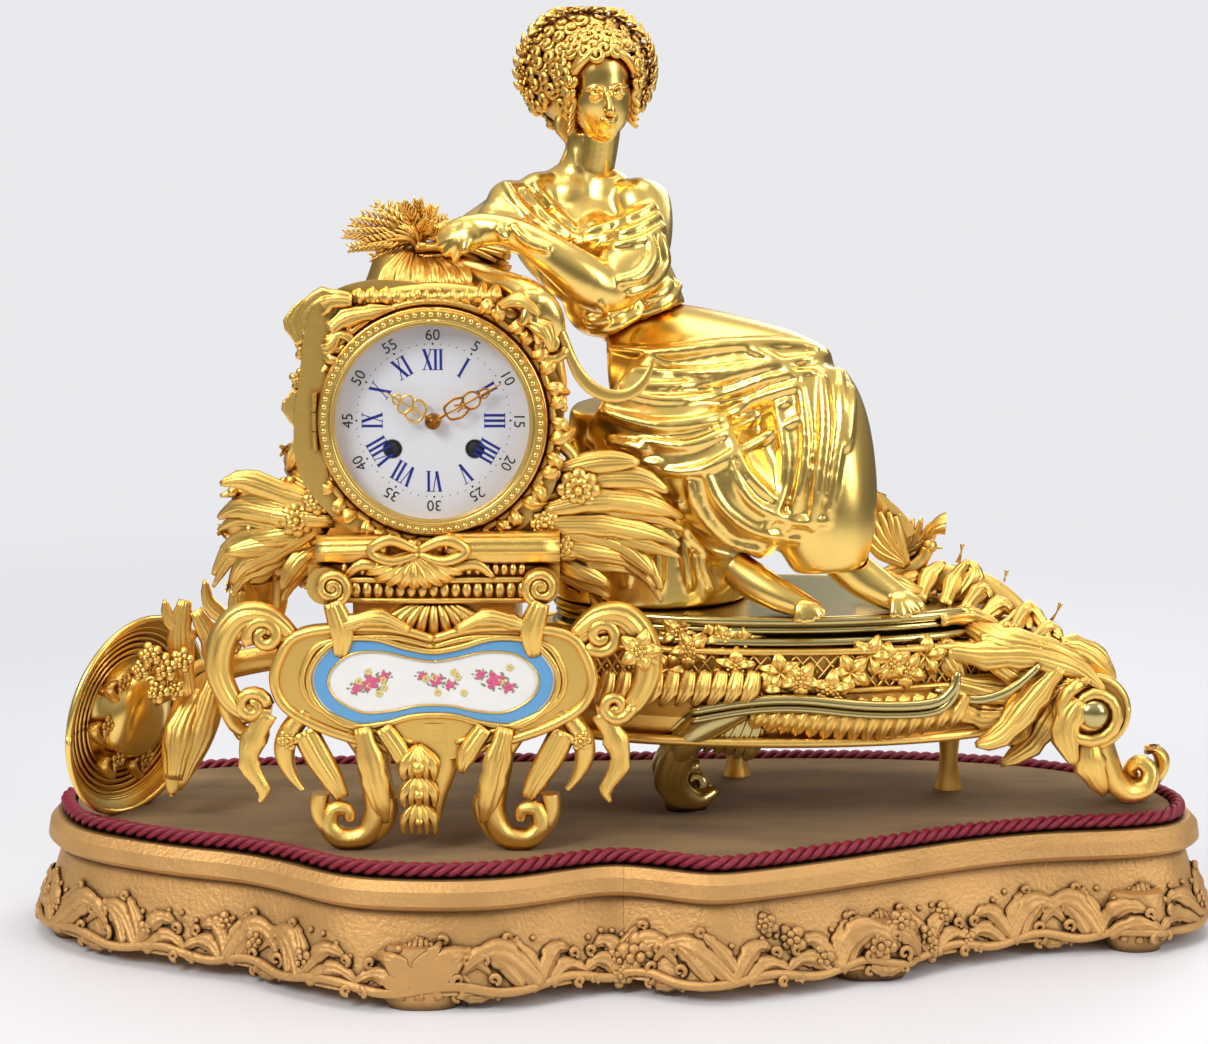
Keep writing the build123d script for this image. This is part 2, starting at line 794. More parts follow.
torso_shares = [(0.090, 0.055, 0.375, 0.085, 0.100), (0.060, 0.050, 0.440, 0.078, 0.096),
                (0.026, 0.042, 0.500, 0.062, 0.082), (-0.012, 0.035, 0.555, 0.068, 0.095),
                (-0.048, 0.033, 0.610, 0.074, 0.115), (-0.070, 0.035, 0.655, 0.070, 0.125),
                (-0.078, 0.037, 0.692, 0.050, 0.105), (-0.075, 0.034, 0.725, 0.036, 0.052),
                (-0.066, 0.027, 0.758, 0.031, 0.031), (-0.054, 0.016, 0.800, 0.030, 0.030)]
with BuildPart() as torso:
    add(largest(fuse([figure_horn(torso_shares)], [skirt.part])))
torso.part.label = "torso"
export_step(torso.part, "parts/torso.step")

head_shares = [(-0.050, 0.006, 0.775, 0.030, 0.030), (-0.046, 0.002, 0.805, 0.062, 0.056),
               (-0.046, 0.010, 0.850, 0.088, 0.082), (-0.050, 0.020, 0.905, 0.094, 0.098),
               (-0.052, 0.028, 0.965, 0.070, 0.076), (-0.052, 0.030, 1.0, 0.030, 0.034)]
bunch_shares = [(-0.110, 0.030, 0.835, 0.030, 0.026), (-0.125, 0.025, 0.875, 0.044, 0.040),
                (-0.125, 0.025, 0.920, 0.044, 0.042), (-0.100, 0.025, 0.955, 0.030, 0.026)]
with BuildPart() as head:
    add(figure_horn(head_shares))
    add(figure_horn(bunch_shares))
    add(torso.part, mode=Mode.SUBTRACT)
head.part.label = "head"
export_step(head.part, "parts/head.step")

right_upper_shares = [(-0.185, 0.038, 0.665, 0.046, 0.046), (-0.245, 0.008, 0.625, 0.042, 0.042),
                      (-0.300, -0.030, 0.580, 0.037, 0.037), (-0.322, -0.046, 0.562, 0.020, 0.020)]
right_fore_shares = [(-0.318, -0.030, 0.572, 0.022, 0.022), (-0.298, -0.045, 0.568, 0.036, 0.036),
                     (-0.235, -0.115, 0.558, 0.034, 0.034), (-0.172, -0.175, 0.548, 0.025, 0.025),
                     (-0.140, -0.200, 0.525, 0.024, 0.032), (-0.118, -0.200, 0.495, 0.018, 0.028),
                     (-0.106, -0.195, 0.465, 0.010, 0.014)]
with BuildPart() as right_arm:
    add(figure_horn(right_upper_shares))
    add(figure_horn(right_fore_shares))
    add(torso.part, mode=Mode.SUBTRACT)
    add(drum_envelope, mode=Mode.SUBTRACT)
    add(drum_surround.part, mode=Mode.SUBTRACT)
right_arm.part.label = "right_arm"
export_step(right_arm.part, "parts/right_arm.step")

left_upper_shares = [(0.035, 0.025, 0.690, 0.044, 0.044), (0.030, -0.055, 0.620, 0.050, 0.050),
                     (-0.015, -0.130, 0.550, 0.045, 0.045), (-0.040, -0.155, 0.530, 0.026, 0.026)]
left_fore_shares = [(-0.010, -0.135, 0.528, 0.026, 0.026), (-0.035, -0.145, 0.545, 0.040, 0.040),
                    (-0.110, -0.165, 0.598, 0.034, 0.034), (-0.185, -0.158, 0.640, 0.026, 0.026),
                    (-0.240, -0.150, 0.640, 0.020, 0.030), (-0.300, -0.150, 0.612, 0.010, 0.016)]
with BuildPart() as left_arm:
    add(figure_horn(left_upper_shares))
    add(figure_horn(left_fore_shares))
    add(torso.part, mode=Mode.SUBTRACT)
    add(right_arm.part, mode=Mode.SUBTRACT)
left_arm.part.label = "left_arm"
export_step(left_arm.part, "parts/left_arm.step")

left_foot_shares = [(0.185, -0.075, 0.080, 0.030, 0.030), (0.245, -0.105, 0.042, 0.028, 0.030),
                    (0.295, -0.122, 0.022, 0.026, 0.022), (0.328, -0.134, 0.012, 0.014, 0.012)]
right_foot_shares = [(0.360, -0.075, 0.095, 0.034, 0.034), (0.420, -0.085, 0.048, 0.030, 0.032),
                     (0.470, -0.092, 0.022, 0.028, 0.022), (0.498, -0.095, 0.012, 0.014, 0.012)]
with BuildPart() as feet:
    for shares in (left_foot_shares, right_foot_shares):
        add(figure_horn(shares))
    for cut in (skirt.part, ledge.part):
        add(cut, mode=Mode.SUBTRACT)
feet.part.label = "feet"
export_step(feet.part, "parts/feet.step")

sickle_shares = [(-0.122, -0.196, 0.510, 0.008, 0.008), (-0.100, -0.200, 0.478, 0.009, 0.009),
                 (-0.080, -0.206, 0.430, 0.005, 0.009), (-0.045, -0.208, 0.388, 0.004, 0.011),
                 (0.000, -0.208, 0.380, 0.004, 0.010), (0.036, -0.208, 0.408, 0.003, 0.007),
                 (0.048, -0.208, 0.440, 0.002, 0.003)]
with BuildPart() as sickle:
    add(figure_horn(sickle_shares))
    for cut in (right_arm.part, skirt.part, torso.part):
        add(cut, mode=Mode.SUBTRACT)
sickle.part.label = "sickle"
export_step(sickle.part, "parts/sickle.step")

nut_radius = 4.5
nut_height = 5.0
with BuildPart() as figure_nuts:
    with BuildSketch(Plane.XY.offset(plinth_bottom_z - nut_height)):
        with Locations((plinth_x - plinth_length / 4, plinth_y), (plinth_x + plinth_length / 4, plinth_y)):
            RegularPolygon(nut_radius, 6)
    extrude(amount=nut_height)
figure_nuts.part.label = "figure_nuts"
export_step(figure_nuts.part, "parts/figure_nuts.step")

# Foliage round the drum: places and sizes are shares of the drum's radius, from the dial's centre

foliage_origin = (dial_x, 0, dial_z)


def foliage_horn(shares):
    """A horn of the leaves and sprays round the drum."""
    return horn(scaled_rows(shares, foliage_origin, drum_radius))


sheaf_shares = [(0.62, -0.50, 1.24, 0.07, 0.09), (0.30, -0.42, 1.34, 0.13, 0.14),
                (-0.20, -0.26, 1.56, 0.24, 0.20), (-0.60, -0.20, 1.66, 0.26, 0.24),
                (-1.00, -0.20, 1.66, 0.16, 0.16), (-1.28, -0.20, 1.58, 0.06, 0.08)]
sheaf_foot_shares = [(-0.30, -0.20, 0.80, 0.50, 0.56), (-0.30, -0.20, 1.12, 0.36, 0.44),
                     (-0.30, -0.20, 1.26, 0.22, 0.26), (-0.32, -0.20, 1.55, 0.20, 0.24)]
with BuildPart() as wheat_sheaf:
    add(foliage_horn(sheaf_shares))
    add(foliage_horn(sheaf_foot_shares))
    for cut in (drum_envelope, drum_surround.part, right_arm.part, left_arm.part, torso.part):
        add(cut, mode=Mode.SUBTRACT)
wheat_sheaf.part.label = "wheat_sheaf"
export_step(wheat_sheaf.part, "parts/wheat_sheaf.step")

left_leaves_shares = [
    [(-0.80, -0.70, -0.70, 0.20, 0.30), (-1.30, -0.60, -0.80, 0.22, 0.34), (-1.70, -0.45, -0.95, 0.16, 0.26),
     (-2.00, -0.40, -1.10, 0.06, 0.08)],
    [(-0.90, -0.60, -0.90, 0.20, 0.24), (-1.40, -0.50, -1.20, 0.20, 0.26), (-1.75, -0.45, -1.40, 0.14, 0.20),
     (-1.92, -0.42, -1.62, 0.05, 0.06)],
    [(-0.95, -0.60, -0.70, 0.16, 0.20), (-1.20, -0.45, -0.45, 0.14, 0.20), (-1.42, -0.35, -0.28, 0.06, 0.08)],
]
with BuildPart() as left_spray:
    for shares in left_leaves_shares:
        add(foliage_horn(shares))
    for cut in (drum_envelope, drum_surround.part, console.part):
        add(cut, mode=Mode.SUBTRACT)
left_spray.part.label = "left_spray"
export_step(left_spray.part, "parts/left_spray.step")

right_leaves_shares = [
    [(0.80, -0.80, -0.72, 0.18, 0.28), (1.25, -0.75, -0.72, 0.20, 0.32), (1.70, -0.65, -0.85, 0.18, 0.28),
     (2.15, -0.60, -0.98, 0.06, 0.08)],
    [(0.85, -0.80, -0.85, 0.18, 0.22), (1.25, -0.75, -1.08, 0.18, 0.24), (1.60, -0.65, -1.22, 0.14, 0.18),
     (1.85, -0.62, -1.42, 0.05, 0.06)],
]
with BuildPart() as right_spray:
    for shares in right_leaves_shares:
        add(foliage_horn(shares))
    for cut in (drum_envelope, drum_surround.part, console.part, skirt.part, ledge.part):
        add(cut, mode=Mode.SUBTRACT)
right_spray.part.label = "right_spray"
export_step(right_spray.part, "parts/right_spray.step")

# Left end: open bracket and the straw hat that leans on it

hat_radius = 46.0
hat_thickness = 4.0
hat_x = -228.0
hat_y = 0.0
hat_crown_radius = 20.0
hat_crown_height = 13.0
hat_normal = Vector(0.85, -0.5, -0.137)
hat_plane = Plane(origin=(hat_x, hat_y, velvet_level + hat_radius), z_dir=hat_normal)

bracket_shares = [
    [(-0.55, 0.10, -2.30, 0.14, 0.16), (-1.30, 0.05, -2.28, 0.12, 0.14), (-2.10, 0.0, -2.40, 0.12, 0.16),
     (-2.75, -0.05, -2.70, 0.10, 0.12)],
    [(-1.10, 0.05, -2.30, 0.10, 0.12), (-1.55, -0.05, -1.95, 0.10, 0.14), (-1.62, -0.25, -1.60, 0.10, 0.16),
     (-1.55, -0.45, -1.25, 0.08, 0.10)],
    [(-2.05, 0.0, -2.35, 0.10, 0.12), (-2.25, -0.15, -2.80, 0.14, 0.26), (-2.38, -0.30, -3.20, 0.10, 0.20),
     (-2.45, -0.38, -3.50, 0.04, 0.05)],
]
with BuildPart() as left_bracket:
    for shares in bracket_shares:
        add(foliage_horn(shares))
    for cut in (console.part, left_spray.part, cartouche.part):
        add(cut, mode=Mode.SUBTRACT)
left_bracket.part.label = "left_bracket"
export_step(left_bracket.part, "parts/left_bracket.step")

with BuildPart() as straw_hat:
    with BuildSketch(hat_plane):
        Circle(hat_radius)
    extrude(amount=hat_thickness)
    with BuildSketch(hat_plane.offset(hat_thickness)):
        Circle(hat_crown_radius)
    extrude(amount=hat_crown_height, taper=18)
    with BuildSketch(Plane.XY.offset(velvet_level)):
        with Locations((hat_x, hat_y)):
            Circle(hat_radius * 2)
    extrude(amount=-hat_radius, mode=Mode.SUBTRACT)
    add(left_bracket.part, mode=Mode.SUBTRACT)
straw_hat.part.label = "straw_hat"
export_step(straw_hat.part, "parts/straw_hat.step")

# Right end: acanthus scroll with its volute and end foot, crest, bird, front scroll foot, rear feet

volute_radius = 16.0
volute_x = 209.0
volute_z = 109.0
volute_front_y = -30.0
volute_back_y = 22.0
volute_origin = (volute_x, (volute_front_y + volute_back_y) / 2, volute_z)


def end_horn(shares):
    """A horn of the right end, in shares of the volute's radius from the volute's centre."""
    return horn(scaled_rows(shares, volute_origin, volute_radius))


acanthus_shares = [(-3.60, 0.9, 1.25, 1.9, 0.70), (-2.20, 0.4, 1.50, 1.7, 0.85), (-0.90, 0.1, 1.10, 1.5, 0.90),
                   (0.10, 0.0, 0.20, 1.3, 0.80)]
under_leaf_shares = [(-3.00, 0.6, 0.40, 1.5, 0.60), (-2.00, 0.3, -0.20, 1.3, 0.60), (-1.70, 0.2, -0.90, 0.9, 0.40),
                     (-2.10, 0.1, -1.35, 0.4, 0.20)]
end_foot_shares = [(-0.30, 0.9, -0.40, 0.70, 0.60), (0.30, 1.1, -1.60, 0.60, 0.45), (1.10, 1.3, -2.60, 0.55, 0.40),
                   (2.00, 1.3, -2.80, 0.50, 0.36), (2.62, 1.3, -2.25, 0.45, 0.30), (2.30, 1.3, -1.70, 0.40, 0.25)]
with BuildPart() as right_scroll:
    for shares in (acanthus_shares, under_leaf_shares, end_foot_shares):
        add(end_horn(shares))
    add(disc(volute_x, volute_z, volute_radius, volute_back_y, volute_back_y - volute_front_y))
    with BuildSketch(Plane.XY.offset(velvet_level)):
        with Locations((volute_x, 0)):
            Rectangle(volute_radius * 8, volute_radius * 8)
    extrude(amount=-volute_radius, mode=Mode.SUBTRACT)
    for cut in (plinth_body.part, ledge.part):
        add(cut, mode=Mode.SUBTRACT)
right_scroll.part.label = "right_scroll"
export_step(right_scroll.part, "parts/right_scroll.step")

crest_shares = [(-5.20, 1.4, 2.60, 0.40, 0.50), (-4.20, 1.4, 3.20, 0.40, 0.60), (-3.10, 1.2, 3.10, 0.40, 0.65),
                (-2.00, 0.8, 2.50, 0.40, 0.60), (-0.80, 0.4, 1.60, 0.35, 0.45)]
spike_shares = [
    [(-3.60, 1.3, 3.20, 0.25, 0.35), (-3.40, 1.3, 3.80, 0.16, 0.22), (-3.30, 1.3, 4.30, 0.06, 0.08)],
    [(-2.40, 1.0, 2.60, 0.25, 0.35), (-2.15, 1.0, 3.20, 0.16, 0.20), (-2.05, 1.0, 3.60, 0.06, 0.08)],
    [(-1.20, 0.6, 1.80, 0.25, 0.30), (-0.75, 0.6, 2.30, 0.14, 0.18), (-0.55, 0.6, 2.70, 0.06, 0.08)],
]
with BuildPart() as right_crest:
    add(end_horn(crest_shares))
    for shares in spike_shares:
        add(end_horn(shares))
    for cut in (plinth_body.part, ledge.part, right_scroll.part):
        add(cut, mode=Mode.SUBTRACT)
right_crest.part.label = "right_crest"
export_step(right_crest.part, "parts/right_crest.step")

bird_length = 38.0
bird_origin = (133.0, 16.0, 172.0)
bird_body_shares = [(-0.36, 0.0, -0.10, 0.05, 0.06), (-0.14, 0.0, 0.02, 0.20, 0.20), (0.14, 0.0, 0.20, 0.19, 0.18),
                    (0.30, 0.0, 0.36, 0.10, 0.10), (0.44, 0.0, 0.40, 0.04, 0.04)]
bird_wing_shares = [(0.02, 0.0, 0.16, 0.10, 0.20), (-0.22, 0.0, 0.46, 0.07, 0.24), (-0.44, 0.0, 0.80, 0.03, 0.08)]
with BuildPart() as bird:
    add(horn(scaled_rows(bird_body_shares, bird_origin, bird_length)))
    add(horn(scaled_rows(bird_wing_shares, bird_origin, bird_length)))
    add(right_crest.part, mode=Mode.SUBTRACT)
bird.part.label = "bird"
export_step(bird.part, "parts/bird.step")

front_foot_height = plinth_bottom_z - velvet_level
front_foot_x = 34.0
front_foot_inset = 37.0
front_foot_y = plinth_y - plinth_width / 2 + front_foot_inset
front_foot_origin = (front_foot_x, front_foot_y, velvet_level)
front_foot_shares = [(0.55, -0.95, 1.55, 0.20, 0.22), (0.15, -0.92, 1.32, 0.20, 0.24), (-0.20, -0.75, 0.98, 0.20, 0.24),
                     (-0.32, -0.42, 0.55, 0.20, 0.24), (-0.18, -0.12, 0.20, 0.20, 0.22), (0.04, 0.04, 0.08, 0.16, 0.16)]
with BuildPart() as front_scroll_foot:
    add(horn(scaled_rows(front_foot_shares, front_foot_origin, front_foot_height)))
    with BuildSketch(Plane.XY.offset(velvet_level)):
        with Locations(front_foot_origin):
            Circle(front_foot_height)
    extrude(amount=-front_foot_height, mode=Mode.SUBTRACT)
    add(plinth_body.part, mode=Mode.SUBTRACT)
front_scroll_foot.part.label = "front_scroll_foot"
export_step(front_scroll_foot.part, "parts/front_scroll_foot.step")

rear_foot_radius = 7.0
rear_foot_places = [
    (dial_x - console_side * 0.9, drum_back_y - rear_foot_radius * 1.4, console_bottom_z),
    (plinth_x - plinth_length * 0.06, plinth_y + plinth_width * 0.38, plinth_bottom_z),
    (plinth_x + plinth_length * 0.36, plinth_y + plinth_width * 0.16, plinth_bottom_z),
]


def rear_foot(x, y, top_z):
    """A turned foot from the velvet up to the piece that it carries."""
    height = top_z - velvet_level
    return horn(
        [
            ((x, y, velvet_level), rear_foot_radius, rear_foot_radius),
            ((x, y, velvet_level + height * 0.2), rear_foot_radius * 0.7, rear_foot_radius * 0.7),
            ((x, y, velvet_level + height * 0.7), rear_foot_radius * 0.8, rear_foot_radius * 0.8),
            ((x, y, top_z), rear_foot_radius * 1.3, rear_foot_radius * 1.3),
        ]
    )


with BuildPart() as rear_feet:
    for place in rear_foot_places:
        add(rear_foot(*place))
rear_feet.part.label = "rear_feet"
export_step(rear_feet.part, "parts/rear_feet.step")

# Movement: two round plates joined by pillars, held in the drum by two straps

front_plate_back_y = front_plate_y + plate_thickness
back_plate_front_y = front_plate_back_y + plate_distance
back_plate_back_y = back_plate_front_y + plate_thickness
pillar_radius = 2.2
pillar_ring = plate_radius - pillar_radius * 2.3
pillar_angles = (50, 130, 270, 355, 185)


def mesh_distance(teeth, leaves):
    """Distance between the centres of a wheel and its pinion."""
    return gear_module * (teeth + leaves) / 2


barrel_teeth = 80
second_leaves = 10
second_teeth = 60
centre_leaves = 12
centre_teeth = 60
third_leaves = 8
third_teeth = 56
escape_leaves = 8
escape_teeth = 30

winding_reach = sqrt(winding_x**2 + winding_drop**2)
winding_angle = atan2(-winding_drop, winding_x)
barrel_to_second = mesh_distance(barrel_teeth, second_leaves)
second_to_centre = mesh_distance(second_teeth, centre_leaves)
second_turn = (second_to_centre**2 + winding_reach**2 - barrel_to_second**2) / (
    2 * second_to_centre * winding_reach
)
second_angle = winding_angle + atan2(sqrt(1 - second_turn**2), second_turn)
second_place = (second_to_centre * cos(second_angle), second_to_centre * sin(second_angle))
going_place = (winding_x, -winding_drop)
strike_place = (-winding_x, -winding_drop)
pin_place = (-second_place[0], second_place[1])
third_angle = radians(100)
third_distance = mesh_distance(centre_teeth, third_leaves)
third_place = (third_distance * cos(third_angle), third_distance * sin(third_angle))
escape_distance = mesh_distance(third_teeth, escape_leaves)
escape_shift = third_distance * 0.18
escape_rise = sqrt(escape_distance**2 - escape_shift**2)
escape_place = (third_place[0] + escape_shift, third_place[1] + escape_rise)
escape_radius = plate_radius * 0.17
anchor_place = (0.0, escape_place[1] + escape_radius * 1.25)
hammer_place = (-plate_radius * 0.82, plate_radius * 0.10)
motion_distance = plate_radius * 0.27
motion_place = (0.0, -motion_distance)
pivot_places = [
    (0.0, 0.0),
    going_place,
    strike_place,
    second_place,
    pin_place,
    third_place,
    escape_place,
    anchor_place,
    hammer_place,
]
arbor_hole = arbor_radius + running_fit


def on_dial(place):
    """A place on the movement, seen from the front, in the object's frame."""
    return (dial_x + place[0], dial_z + place[1])


def gear_points(teeth, module, start_angle):
    """The outline of a wheel with slim straight-sided teeth; one tooth points along start_angle."""
    pitch = 2 * pi / teeth
    root = module * (teeth / 2 - 1.2)
    tip = module * (teeth / 2 + 0.75)
    half_root = pitch * 0.24
    half_tip = pitch * 0.10
    points = []
    for i in range(teeth):
        middle = start_angle + pitch * i
        for radius, turn in ((root, -half_root), (tip, -half_tip), (tip, half_tip), (root, half_root)):
            points.append((radius * cos(middle + turn), radius * sin(middle + turn)))
    return points


def gear(place, teeth, module, start_angle, back_y, width):
    """A toothed disc whose front face looks at the viewer."""
    x, z = on_dial(place)
    points = [(x + px, z + pz) for px, pz in gear_points(teeth, module, start_angle)]
    with BuildPart() as wheel:
        with BuildSketch(facing(back_y)):
            with BuildLine():
                Polyline(*points, close=True)
            make_face()
        extrude(amount=width)
    return wheel.part


def meshed(angle, driver_start, driver_teeth, driven_teeth):
    """Start angle of a driven wheel whose teeth fall between the driver's, along the line of centres."""
    return angle + pi - (driver_start - angle) * driver_teeth / driven_teeth - pi / driven_teeth


def bar(place, radius, back_y, length):
    """A round bar along Y at a place on the movement."""
    x, z = on_dial(place)
    return disc(x, z, radius, back_y, length)


def direction(start, end):
    """Angle of the line from one place to another."""
    return atan2(end[1] - start[1], end[0] - start[0])


def arbor(place, radius=arbor_radius):
    """An arbor whose ends turn in both plates."""
    return bar(place, radius, back_plate_back_y, plate_distance + 2 * plate_thickness)


# Levels between the plates, each the back face of a wheel, counted from the front plate.
level = gear_width + air
second_level_y = front_plate_back_y + level
centre_level_y = second_level_y + level
great_level_y = back_plate_front_y - air
drum_level_y = great_level_y - gear_width - air / 2
barrel_front_y = centre_level_y + air
barrel_radius = gear_module * barrel_teeth / 2 - gear_module * 2

with BuildPart() as front_plate:
    add(bar((0, 0), plate_radius, front_plate_back_y, plate_thickness))
    for place in pivot_places:
        add(bar(place, arbor_hole, front_plate_back_y + overrun, plate_thickness + 2 * overrun), mode=Mode.SUBTRACT)
front_plate.part.label = "front_plate"
export_step(front_plate.part, "parts/front_plate.step")

with BuildPart() as back_plate:
    add(bar((0, 0), plate_radius, back_plate_back_y, plate_thickness))
    for angle in pillar_angles:
        pillar_place = (pillar_ring * cos(radians(angle)), pillar_ring * sin(radians(angle)))
        add(bar(pillar_place, pillar_radius, back_plate_front_y, plate_distance))
    for place in pivot_places:
        add(bar(place, arbor_hole, back_plate_back_y + overrun, plate_thickness + 2 * overrun), mode=Mode.SUBTRACT)
back_plate.part.label = "back_plate"
export_step(back_plate.part, "parts/back_plate.step")

# Straps from the dial ring, over the plates' edge, with a foot that bears on the back plate.
strap_half_width = plate_radius * 0.12
strap_thickness = 1.4
strap_front_y = drum_front_y + drum_wall
with BuildPart() as movement_straps:
    for side in (-1, 1):
        strap_x = dial_x + side * (drum_inner_radius - running_fit - strap_thickness * 1.2)
        with BuildSketch(Plane(origin=(strap_x, 0, dial_z), x_dir=(0, 1, 0), z_dir=(side, 0, 0))):
            with Locations(((strap_front_y + drum_back_y) / 2, 0)):
                Rectangle(drum_back_y - strap_front_y, strap_half_width * 2)
        extrude(amount=strap_thickness / 2, both=True)
        with BuildSketch(facing(back_plate_back_y + strap_thickness)):
            with Locations((strap_x - side * (drum_inner_radius - plate_radius + pillar_radius) / 2, dial_z)):
                Rectangle(drum_inner_radius - plate_radius + pillar_radius, strap_half_width * 2)
        extrude(amount=strap_thickness)
    add(drum_case.part, mode=Mode.SUBTRACT)
    add(dial_ring.part, mode=Mode.SUBTRACT)
movement_straps.part.label = "movement_straps"
export_step(movement_straps.part, "parts/movement_straps.step")


def barrel(place, start_angle):
    """A spring barrel: great wheel and drum, free on its winding arbor."""
    hole = bar(place, arbor_radius * 1.6 + running_fit, back_plate_back_y, plate_distance)
    body = bar(place, barrel_radius, drum_level_y, drum_level_y - barrel_front_y)
    neck = bar(place, arbor_radius * 3, great_level_y, great_level_y - drum_level_y + running_fit)
    return fuse([gear(place, barrel_teeth, gear_module, start_angle, great_level_y, gear_width), neck, body], [hole])


def winding_arbor(place):
    """An arbor with a square that reaches the hole in the dial."""
    x, z = on_dial(place)
    front = dial_back_y + dial_thickness / 2
    with BuildPart() as shaft:
        add(arbor(place))
        add(bar(place, arbor_radius * 1.6, great_level_y + air / 2, great_level_y - barrel_front_y + air))
        add(bar(place, arbor_radius, front_plate_y, front_plate_y - dial_back_y))
        with BuildSketch(facing(dial_back_y + winding_square)):
            with Locations((x, z)):
                Rectangle(winding_square, winding_square)
        extrude(amount=dial_back_y + winding_square - front)
    return shaft.part


going_start = 0.0
with BuildPart() as going_barrel:
    add(barrel(going_place, going_start))
going_barrel.part.label = "going_barrel"
export_step(going_barrel.part, "parts/going_barrel.step")

with BuildPart() as going_arbor:
    add(winding_arbor(going_place))
going_arbor.part.label = "going_arbor"
export_step(going_arbor.part, "parts/going_arbor.step")

strike_start = 0.0
with BuildPart() as strike_barrel:
    add(barrel(strike_place, strike_start))
strike_barrel.part.label = "strike_barrel"
export_step(strike_barrel.part, "parts/strike_barrel.step")

with BuildPart() as strike_arbor:
    add(winding_arbor(strike_place))
strike_arbor.part.label = "strike_arbor"
export_step(strike_arbor.part, "parts/strike_arbor.step")

second_start = meshed(direction(going_place, second_place), going_start, barrel_teeth, second_leaves)
second_wheel_start = second_start
with BuildPart() as second_wheel:
    add(arbor(second_place))
    add(gear(second_place, second_leaves, gear_module, second_start, great_level_y, gear_width + air / 2))
    add(gear(second_place, second_teeth, gear_module, second_wheel_start, second_level_y, gear_width))
second_wheel.part.label = "second_wheel"
export_step(second_wheel.part, "parts/second_wheel.step")

# The centre arbor carries its pinion and wheel, and reaches through the dial to the minute hand.
minute_back_y = dial_front_y - dial_thickness - gear_width * 1.5
hand_thickness = 0.8
nut_length = 1.2
centre_start = meshed(direction(second_place, (0, 0)), second_wheel_start, second_teeth, centre_leaves)
minute_front_y = minute_back_y - hand_thickness
with BuildPart() as centre_arbor:
    add(arbor((0, 0)))
    add(gear((0, 0), centre_leaves, gear_module, centre_start, second_level_y, gear_width))
    add(gear((0, 0), centre_teeth, gear_module, centre_start, centre_level_y, gear_width))
    add(bar((0, 0), arbor_radius, front_plate_y, front_plate_y - minute_front_y + nut_length))
centre_arbor.part.label = "centre_arbor"
export_step(centre_arbor.part, "parts/centre_arbor.step")

third_start = meshed(direction((0, 0), third_place), centre_start, centre_teeth, third_leaves)
third_level_y = centre_level_y + level * 2.2
with BuildPart() as third_wheel:
    add(arbor(third_place, arbor_radius * 0.8))
    add(gear(third_place, third_leaves, gear_module, third_start, centre_level_y, gear_width))
    add(gear(third_place, third_teeth, gear_module, third_start, third_level_y, gear_width))
third_wheel.part.label = "third_wheel"
export_step(third_wheel.part, "parts/third_wheel.step")

escape_start = meshed(direction(third_place, escape_place), third_start, third_teeth, escape_leaves)
escape_level_y = third_level_y + level * 1.5


def escape_points(teeth, radius):
    """Pointed teeth that lean forwards, round the escape wheel."""
    points = []
    for i in range(teeth):
        angle = 2 * pi * i / teeth
        lean = 2 * pi / teeth * 0.35
        points.append((radius * cos(angle + lean), radius * sin(angle + lean)))
        points.append((radius * 0.82 * cos(angle + lean * 1.6), radius * 0.82 * sin(angle + lean * 1.6)))
    return points


with BuildPart() as escape_wheel:
    add(arbor(escape_place, arbor_radius * 0.8))
    add(gear(escape_place, escape_leaves, gear_module, escape_start, third_level_y, gear_width))
    with BuildSketch(facing(escape_level_y)):
        with BuildLine():
            Polyline(
                *[(dial_x + escape_place[0] + x, dial_z + escape_place[1] + z)
                  for x, z in escape_points(escape_teeth, escape_radius)],
                close=True,
            )
        make_face()
    extrude(amount=gear_width)
escape_wheel.part.label = "escape_wheel"
export_step(escape_wheel.part, "parts/escape_wheel.step")

# Anchor over the escape wheel: its arms end just outside the tooth circle.
pallet_radius = escape_radius + air * 2.2
anchor_x, anchor_z = on_dial(anchor_place)
escape_x, escape_z = on_dial(escape_place)
rod_y = back_plate_back_y + plate_thickness * 3
rod_radius = 1.1
crutch_length = plate_radius * 0.55
with BuildPart() as anchor:
    add(arbor(anchor_place, arbor_radius * 0.8))
    with BuildSketch(facing(escape_level_y)):
        with Locations((anchor_x, anchor_z)):
            Circle(arbor_radius * 1.6)
        with BuildLine():
            Polyline(
                (anchor_x, anchor_z + arbor_radius),
                (anchor_x - pallet_radius * 1.10, escape_z + pallet_radius * 0.55),
                (anchor_x - pallet_radius * 1.02, escape_z + pallet_radius * 0.28),
                (anchor_x, anchor_z - arbor_radius),
                (anchor_x + pallet_radius * 1.02, escape_z + pallet_radius * 0.28),
                (anchor_x + pallet_radius * 1.10, escape_z + pallet_radius * 0.55),
                close=True,
            )
        make_face()
        with Locations((escape_x, escape_z)):
            Circle(pallet_radius, mode=Mode.SUBTRACT)
    extrude(amount=gear_width)
    add(bar(anchor_place, arbor_radius * 0.8, rod_y - rod_radius * 2 - air, rod_y - rod_radius * 2 - air - back_plate_back_y))
    with BuildSketch(facing(rod_y - rod_radius - air)):
        with Locations((anchor_x, anchor_z - crutch_length / 2)):
            Rectangle(arbor_radius * 2, crutch_length + arbor_radius)
    extrude(amount=rod_radius)
anchor.part.label = "anchor"
export_step(anchor.part, "parts/anchor.step")

